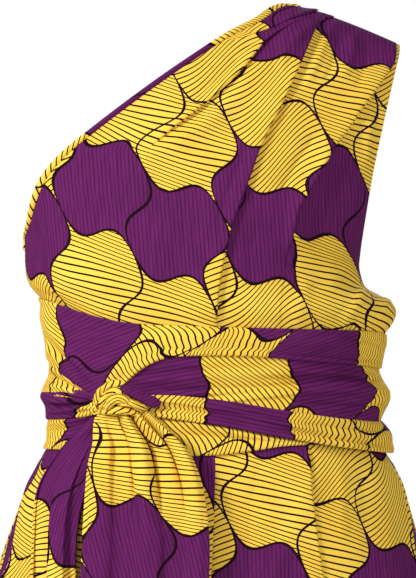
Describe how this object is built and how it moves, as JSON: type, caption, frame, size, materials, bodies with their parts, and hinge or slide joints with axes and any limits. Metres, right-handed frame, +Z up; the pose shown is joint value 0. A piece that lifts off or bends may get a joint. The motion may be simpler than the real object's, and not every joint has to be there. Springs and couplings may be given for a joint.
{
  "type": "wide leg jumpsuit",
  "caption": "One-shoulder wide leg jumpsuit in printed cloth, worn with no wearer, with a wound sash tied at the side front.",
  "frame": {"origin": "just under the shoulder of the bodice, in the middle of the shoulder seam, where the wearer's shoulder holds it", "axes": "+Z up, -Y to the front of the garment, +X to the wearer's left"},
  "size_m": [0.6316, 0.3279, 1.4531],
  "materials": {
    "print": "smooth printed crepe, yellow and purple with dark lines, soft sheen"
  },
  "bodies": {
    "root": {"bodice_front": "print", "bodice_back": "print", "neck_binding_front": "print", "neck_binding_back": "print", "leg_front_left": "print", "leg_back_left": "print", "pocket_facing_left": "print", "leg_front_right": "print", "leg_back_right": "print", "pocket_facing_right": "print", "sash_wrap_middle": "print", "sash_wrap_lower": "print", "sash_wrap_top": "print", "sash_wrap_crossing": "print", "sash_tail_narrow": "print", "sash_tail_wide": "print", "sash_knot": "print"}
  },
  "joints": []
}
